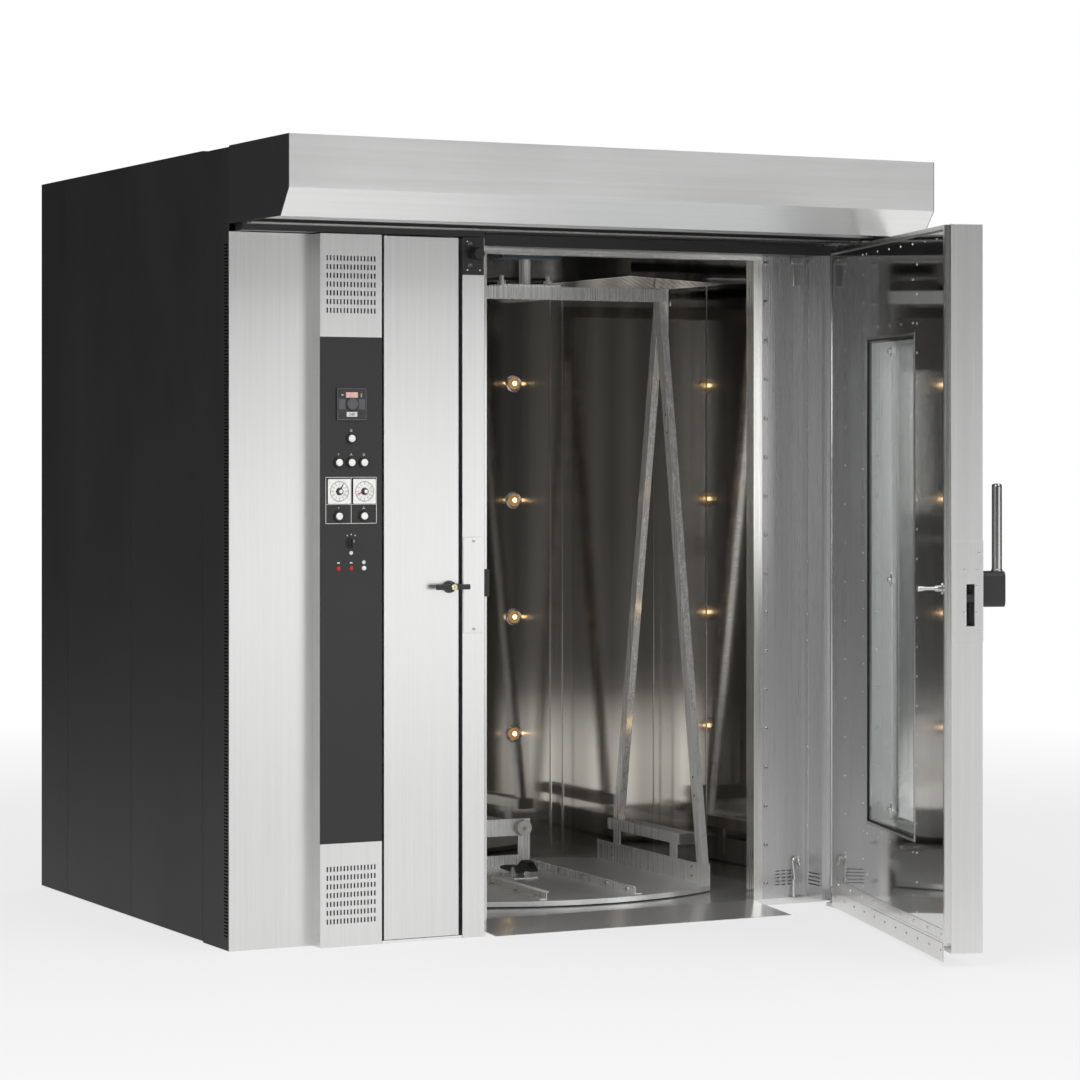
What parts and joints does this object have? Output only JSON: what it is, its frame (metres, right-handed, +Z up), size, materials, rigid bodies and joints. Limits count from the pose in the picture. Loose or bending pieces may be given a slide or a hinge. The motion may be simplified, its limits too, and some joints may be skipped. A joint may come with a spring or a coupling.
{
  "type": "rotating rack oven",
  "caption": "Free-standing rotating rack oven with a turntable chamber, hinged insulated door with window, control column, service door and steam hood.",
  "frame": {"origin": "centre of the cabinet footprint on the floor plane, without hood and door", "axes": "+Z up, -Y to the front, +X to the right seen from the front"},
  "size_m": [2.16, 2.9257, 2.41],
  "materials": {
    "casing_paint": "fine textured charcoal paint",
    "front_steel": "satin brushed stainless steel",
    "door_steel": "satin brushed stainless steel",
    "polished_steel": "mirror polished stainless steel",
    "frame_steel": "satin stainless steel",
    "galvanised": "mill finish steel",
    "black_steel": "satin black paint",
    "fascia": "satin black control film",
    "black_plastic": "moulded black plastic",
    "grey_plastic": "moulded dark grey plastic",
    "white_plastic": "moulded white plastic",
    "pilot_red": "translucent red lens",
    "rubber": "black silicone rubber",
    "glass": "tempered glass",
    "lamp_glass": "warm lamp glass",
    "motor_paint": "machine enamel",
    "heater": "heat tinted steel"
  },
  "bodies": {
    "cabinet": {"floor_pan": "galvanised", "air_plenum": "polished_steel", "chamber_lining": "polished_steel", "casing_left": "casing_paint", "louvre_panel": "casing_paint", "casing_right": "casing_paint", "casing_back": "casing_paint", "roof_panel": "casing_paint", "front_panel": "front_steel", "control_column": "front_steel", "control_fascia": "fascia", "instruments": "black_plastic", "indicator_lamps": "pilot_red", "latch_post": "front_steel", "post_fittings": "black_steel", "lintel": "black_steel", "jamb_left": "door_steel", "jamb_right": "door_steel", "throat_trim": "polished_steel", "hood": "front_steel", "hinge_brackets": "frame_steel", "ramp": "frame_steel", "oven_lamps": "lamp_glass", "ceiling_duct": "frame_steel", "gearmotor": "motor_paint", "heater_bank": "heater", "fan_motor": "motor_paint"},
    "door": {"door_shell": "door_steel", "door_inner": "polished_steel", "window_glass": "glass", "door_seals": "rubber", "lock_plate": "door_steel", "hinge_arms": "frame_steel"},
    "bolt": {"latch_bolt": "black_steel"},
    "door_handle": {"handle": "black_plastic"},
    "release_rod": {"inner_release": "polished_steel"},
    "turntable": {"platform": "frame_steel", "rack_rails": "frame_steel", "side_frame_left": "frame_steel", "side_frame_right": "frame_steel", "bumper_left": "frame_steel", "bumper_right": "frame_steel", "top_beam": "frame_steel", "rear_stop": "frame_steel", "rack_buffers": "white_plastic"},
    "catch": {"rack_catch": "black_steel"},
    "service_door": {"service_door": "front_steel"},
    "wing_lock": {"wing_lock": "black_plastic"},
    "fan": {"circulation_fan": "galvanised"},
    "controller_knob": {"controller_knob": "grey_plastic"},
    "selector": {"selector_knob": "black_plastic"},
    "timer_left": {"timer_knob_left": "black_plastic"},
    "timer_right": {"timer_knob_right": "black_plastic"},
    "vent_knob": {"vent_knob": "black_plastic"},
    "button_1": {"button_1": "white_plastic"},
    "button_2": {"button_2": "white_plastic"},
    "button_3": {"button_3": "white_plastic"},
    "button_4": {"button_4": "white_plastic"},
    "button_5": {"button_5": "white_plastic"},
    "button_6": {"button_6": "white_plastic"}
  },
  "joints": [
    {"name": "main_door_hinge", "type": "hinge", "parent": "cabinet", "child": "door", "pos_m": [1.032, -0.845, 1], "axis": [0, 0, 1], "range_deg": [-72.9, 37]},
    {"name": "handle_turn", "type": "hinge", "parent": "door", "child": "door_handle", "pos_m": [0.719, -2.03246, 1.067], "axis": [-0.9558, 0.294, 0], "range_deg": [0, 90]},
    {"name": "bolt_slide", "type": "slide", "parent": "door", "child": "bolt", "axis": [-0.294, -0.9558, 0], "range_m": [0, 0.018]},
    {"name": "release_push", "type": "slide", "parent": "door", "child": "release_rod", "axis": [0.9558, -0.294, 0], "range_m": [0, 0.01], "stiffness_N_per_m": 300, "springref_m": -0.005},
    {"name": "turntable_spin", "type": "hinge", "parent": "cabinet", "child": "turntable", "pos_m": [0.309, -0.005, 0.04], "axis": [0, 0, 1], "continuous": true},
    {"name": "catch_rock", "type": "hinge", "parent": "turntable", "child": "catch", "pos_m": [0.31162, 0.05494, 0.062], "axis": [0.999, -0.0436, 0], "range_deg": [0, 8], "stiffness_Nm_per_rad": 4, "springref_deg": -17.19},
    {"name": "service_door_hinge", "type": "hinge", "parent": "cabinet", "child": "service_door", "pos_m": [-0.599, -0.883, 1], "axis": [0, 0, -1], "range_deg": [0, 100]},
    {"name": "wing_lock_turn", "type": "hinge", "parent": "service_door", "child": "wing_lock", "pos_m": [-0.398, -0.895, 1.053], "axis": [0, -1, 0], "range_deg": [0, 90]},
    {"name": "fan_spin", "type": "hinge", "parent": "cabinet", "child": "fan", "pos_m": [-0.477, -0.005, 1.65], "axis": [1, 0, 0], "continuous": true},
    {"name": "controller_knob_turn", "type": "hinge", "parent": "cabinet", "child": "controller_knob", "pos_m": [-0.7175, -0.9, 1.597], "axis": [0, -1, 0], "range_deg": [-150, 150]},
    {"name": "selector_turn", "type": "hinge", "parent": "cabinet", "child": "selector", "pos_m": [-0.7175, -0.9, 1.187], "axis": [0, -1, 0], "range_deg": [-45, 45]},
    {"name": "timer_left_turn", "type": "hinge", "parent": "cabinet", "child": "timer_left", "pos_m": [-0.758, -0.9, 1.34], "axis": [0, -1, 0], "range_deg": [-300, 0]},
    {"name": "timer_right_turn", "type": "hinge", "parent": "cabinet", "child": "timer_right", "pos_m": [-0.677, -0.9, 1.34], "axis": [0, -1, 0], "range_deg": [-300, 0]},
    {"name": "vent_knob_turn", "type": "hinge", "parent": "cabinet", "child": "vent_knob", "pos_m": [-0.314, -0.9, 2.05], "axis": [0, -1, 0], "range_deg": [-90, 0]},
    {"name": "button_1_press", "type": "slide", "parent": "cabinet", "child": "button_1", "axis": [0, 1, 0], "range_m": [0, 0.003], "stiffness_N_per_m": 400, "springref_m": -0.002},
    {"name": "button_2_press", "type": "slide", "parent": "cabinet", "child": "button_2", "axis": [0, 1, 0], "range_m": [0, 0.003], "stiffness_N_per_m": 400, "springref_m": -0.002},
    {"name": "button_3_press", "type": "slide", "parent": "cabinet", "child": "button_3", "axis": [0, 1, 0], "range_m": [0, 0.003], "stiffness_N_per_m": 400, "springref_m": -0.002},
    {"name": "button_4_press", "type": "slide", "parent": "cabinet", "child": "button_4", "axis": [0, 1, 0], "range_m": [0, 0.003], "stiffness_N_per_m": 400, "springref_m": -0.002},
    {"name": "button_5_press", "type": "slide", "parent": "cabinet", "child": "button_5", "axis": [0, 1, 0], "range_m": [0, 0.003], "stiffness_N_per_m": 400, "springref_m": -0.002},
    {"name": "button_6_press", "type": "slide", "parent": "cabinet", "child": "button_6", "axis": [0, 1, 0], "range_m": [0, 0.003], "stiffness_N_per_m": 400, "springref_m": -0.002}
  ],
  "couplings": [
    {"joint": "bolt_slide", "follows": "handle_turn", "m_per_rad": 0.011459}
  ]
}
